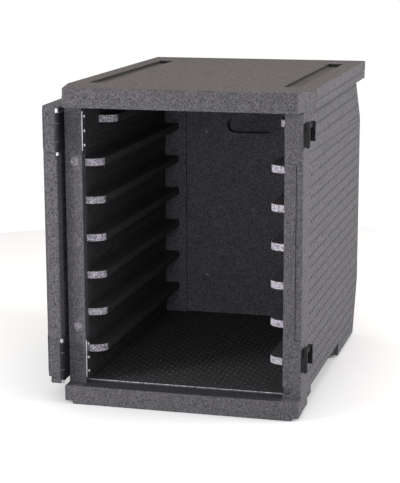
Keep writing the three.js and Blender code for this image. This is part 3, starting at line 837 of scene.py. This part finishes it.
def inside_vents():
    """Steam vents in the cabin's floor and side walls."""
    cutters = []
    floor = vent_rows(-205, 205, 70, 645, VENT_PITCH, nowhere, ROW_PITCH)
    centres = [point(x, depth, CAVITY_FLOOR) for x, depth in floor]
    cutters.append(vent_cutter("cut_floor_vents", centres, X, Y, Z, PAINTED_HIGHLIGHT, *FLOOR_VENT))

    def on_rail(depth, z):
        level = (z - (rail_low.z + rail_high.z) / 2 / MM) / (RAIL_PITCH / MM)
        return abs(level - round(level)) * RAIL_PITCH / MM < 17 and depth > 40

    walls = vent_rows(64, 645, 62, 632, VENT_PITCH, on_rail, RAIL_PITCH / MM / 4)
    for side in (1, -1):
        centres = [point(side * CAVITY_HALF_WIDTH, depth, z) for depth, z in walls]
        cutters.append(vent_cutter(f"cut_wall_vents_{side}", centres, Y, Z, -side * X, PLAIN, *WALL_VENT))
    return cutters


def build_body():
    """The shell in one piece, then the raised discs in its jamb and back wall."""
    body = body_core()
    sill = block("sill", -SILL_HALF_WIDTH, SILL_HALF_WIDTH, 0, JAMB_DEPTH + 12, SKIRT_HEIGHT, SILL_TOP, 2.5)
    plinth = block(
        "plinth", -PLINTH_HALF_WIDTH, PLINTH_HALF_WIDTH, 0, BODY_FOOT_BACK, 0, SKIRT_HEIGHT + 8, 1.5,
    )
    combine(body, [*roof(), sill, plinth], "UNION")
    combine(body, body_cutters() + part_lines(), "DIFFERENCE")
    combine(body, corner_posts(), "UNION")
    body.data.materials.clear()
    give_slots(body)
    combine(body, outside_vents() + inside_vents(), "DIFFERENCE")
    finish_edges(body, FINE_EDGE)
    dress(body, foam, "carrier", ["body_shell"])
    discs = [(JAMB_MARK_RADIUS - 0.5, JAMB_DEPTH + DISC_SINK, (JAMB_MARK_X, z)) for z in JAMB_MARK_HEIGHTS]
    discs += [(VENT_RADIUS - 1.6, CAVITY_BACK + DISC_SINK, place) for place in VENT_PLACES]
    for number, (radius, depth, place) in enumerate(discs, 1):
        disc = rod(f"mould_mark_{number}", "y", radius, depth, depth + DISC_THICKNESS, place, 40)
        finish_edges(disc, 0.3)
        disc.data.materials.append(mark_skin)
        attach(disc, "carrier")


# ---- Door ----
def build_door():
    """Built where it sits when closed, then swung open about the hinge pins."""
    slab = block(
        "carrier_door",
        -DOOR_HALF_WIDTH, DOOR_HALF_WIDTH, SLAB_FRONT, SLAB_BACK, DOOR_LOW, DOOR_HIGH, SOFT_EDGE,
    )
    plug = block(
        "plug", -PLUG_HALF_WIDTH, PLUG_HALF_WIDTH, SLAB_BACK - 6, PLUG_BACK, DOOR_LOW, DOOR_HIGH, 2.5,
    )
    combine(slab, [plug], "UNION")
    edge = -DOOR_HALF_WIDTH + RECESS_DEPTH
    cutters = [
        block(f"cut_recess_{z}", -PAST_SIDE, edge, RECESS_FRONT, SLAB_BACK + OVERRUN,
              z - RECESS_HALF_HEIGHT, z + RECESS_HALF_HEIGHT)
        for z in HINGE_HEIGHTS
    ]
    cutters += [
        rod(f"cut_door_rivet_{z}_{k}", "y", RIVET_HOLE, -10, 60, (DOOR_RIVET_X, z + k * RIVET_PITCH))
        for z in HINGE_HEIGHTS for k in (-1, 0, 1)
    ]
    cutters += [
        rod(f"cut_peg_{z}_{k}", "x", PEG_HOLE, DOOR_HALF_WIDTH - 16, PAST_SIDE, (PEG_DEPTH, z + k))
        for z in LATCH_HEIGHTS for k in PEG_HEIGHTS
    ]
    for z, low in (
        (HINGE_HEIGHTS[0], HINGE_HEIGHTS[0] + RECESS_HALF_HEIGHT),
        (HINGE_HEIGHTS[1], HINGE_HEIGHTS[1] - RECESS_HALF_HEIGHT - RECESS_LINE),
    ):
        cutters.append(
            block(f"cut_recess_line_{z}", -PAST_SIDE, edge + RECESS_LINE, RECESS_FRONT, SLAB_BACK + OVERRUN,
                  low, low + RECESS_LINE)
        )
    cutters += [
        block(f"cut_plate_{z}", -PAST_SIDE, PLATE_INNER, PLATE_BACK, PLUG_BACK + 13,
              z - PLATE_HALF_HEIGHT, z + PLATE_HALF_HEIGHT)
        for z in HINGE_HEIGHTS
    ]
    combine(slab, cutters, "DIFFERENCE")
    slab.data.materials.clear()
    give_slots(slab)
    outer = vent_rows(-226, 226, 66, 620, VENT_PITCH, near_leaf)
    inner = vent_rows(-176, 196, 66, 620, VENT_PITCH, nowhere)
    middle = (SLAB_FRONT + SLAB_BACK) / 2
    edge_places = [point(-DOOR_HALF_WIDTH, middle, z) for z in range(170, 520, 2 * VENT_PITCH)]
    outer_places = [point(x, SLAB_FRONT, z) for x, z in outer]
    inner_places = [point(x, PLUG_BACK, z) for x, z in inner]
    vents = [
        vent_cutter("cut_door_outer", outer_places, X, Z, -Y, PAINTED_SHADE),
        vent_cutter("cut_door_inner", inner_places, X, Z, Y, PAINTED_SHADE),
        vent_cutter("cut_door_edge", edge_places, Y, Z, -X, PAINTED_SHADE, *EDGE_VENT),
    ]
    combine(slab, vents, "DIFFERENCE")
    turn = Matrix.Rotation(DOOR_OPEN, 4, "Z")
    swing = Matrix.Translation(HINGE_AXIS) @ turn @ Matrix.Translation(-HINGE_AXIS)
    slab.data.transform(swing)
    finish_edges(slab, FINE_EDGE)
    dress(slab, foam, "door", ["door_panel"])


def near_leaf(x, z):
    """Where the door's hinge leaves cover its outer face."""
    beside = any(abs(z - middle) < RECESS_HALF_HEIGHT + VENT_MARGIN for middle in HINGE_HEIGHTS)
    return x < LEAF_INNER and beside


# ---- Hardware ----
def body_name_of(node):
    """The body that a CAD node belongs to."""
    bodies = frame["record"]["behaviour"]["bodies"]
    return next(name for name, nodes in bodies.items() if node in nodes)


def detailed(node, material, width):
    """A node's own shape with clean faces and softly rounded edges."""
    bm = bmesh.new()
    bm.from_mesh(frame["nodes"][node].data)
    bmesh.ops.remove_doubles(bm, verts=bm.verts, dist=0.01 * MM)
    bmesh.ops.dissolve_limit(bm, angle_limit=math.radians(1), verts=bm.verts, edges=bm.edges)
    piece = mesh_object(f"{node}_detail", bm)
    finish_edges(piece, width, angle=35)
    dress(piece, material, body_name_of(node), [node])


def build_hardware():
    """Every hinge and latch piece, in nylon, bright steel or black steel."""
    for node in frame["nodes"]:
        if "leaf" in node:
            detailed(node, hinge_nylon, 0.9)
        elif any(word in node for word in ("bracket", "lever", "keeper")):
            detailed(node, latch_nylon, 0.5)
        elif node.startswith("latch") or "door_backing" in node:
            detailed(node, black_steel, 0.3)
        elif "rivet" in node:
            detailed(node, rivet_steel, 1.2)
        elif node.startswith("hinge"):
            detailed(node, steel, 0.3)


# ---- Floor, light and camera ----
def build_stage():
    """A round pale floor in a white studio."""
    mesh = bpy.data.meshes.new("floor")
    rim = [(x, y, 0) for x, y in arc((0, 0), FLOOR_REACH, 0, 360, 72)[:-1]]
    mesh.from_pydata(rim, [], [range(len(rim))])
    floor = bpy.data.objects.new("floor", mesh)
    bpy.context.scene.collection.objects.link(floor)
    n = Nodes("pale_floor")
    n.shader.inputs["Base Color"].default_value = (FLOOR_GREY, FLOOR_GREY, FLOOR_GREY, 1)
    n.shader.inputs["Roughness"].default_value = 0.9
    n.shader.inputs["Specular IOR Level"].default_value = 0.1
    floor.data.materials.append(n.material)
    build_world()
    bpy.context.scene.view_settings.view_transform = "Standard"


def build_world():
    """An even white studio all round."""
    world = bpy.data.worlds.new("studio")
    world.use_nodes = True
    background = world.node_tree.nodes["Background"]
    background.inputs["Color"].default_value = (1, 1, 1, 1)
    background.inputs["Strength"].default_value = 1.02
    bpy.context.scene.world = world


def softbox(name, place, target, size, power, colour=(1, 1, 1)):
    """A square area light that faces a point on the carrier."""
    lamp = bpy.data.lights.new(name, "AREA")
    lamp.shape = "SQUARE"
    lamp.size = size
    lamp.energy = power
    lamp.color = colour
    made = bpy.data.objects.new(name, lamp)
    made.location = place
    made.rotation_euler = (Vector(target) - Vector(place)).to_track_quat("-Z", "Y").to_euler()
    bpy.context.scene.collection.objects.link(made)


def build_lights():
    """A large key from the right, with weaker light from the front, the left and above."""
    middle = (0, 0, HEIGHT / 2)
    softbox("key_right", (3.0, 0.2, 1.3), middle, 1.6, 135)
    softbox("front", (0.2, -3.2, 0.8), middle, 1.0, 42, (0.92, 0.96, 1.0))
    softbox("left", (-1.6, -1.5, 0.8), middle, 0.6, 52)
    softbox("top", (0.2, 0.3, 3.0), middle, 1.6, 30, (1.0, 0.88, 0.80))


def build_camera():
    """Stands right of centre and above the top, looking down and to the left."""
    yaw, pitch, roll = math.radians(14.81), math.radians(11.98), math.radians(-0.19)
    forward = Vector((-math.sin(yaw) * math.cos(pitch), math.cos(yaw) * math.cos(pitch), -math.sin(pitch)))
    level_right = forward.cross(Z).normalized()
    level_up = level_right.cross(forward)
    right = level_right * math.cos(roll) + level_up * math.sin(roll)
    up = level_up * math.cos(roll) - level_right * math.sin(roll)
    lens = bpy.data.cameras.new("camera")
    lens.sensor_width = 36
    lens.lens = 109.56
    lens.clip_end = 50
    made = bpy.data.objects.new("camera", lens)
    turn = Matrix((right, up, -forward)).transposed().to_4x4()
    made.matrix_world = Matrix.Translation((0.808, -3.264, 1.007)) @ turn
    bpy.context.scene.collection.objects.link(made)
    bpy.context.scene.camera = made


build_body()
build_rails()
build_door()
build_hardware()
build_stage()
build_lights()
build_camera()
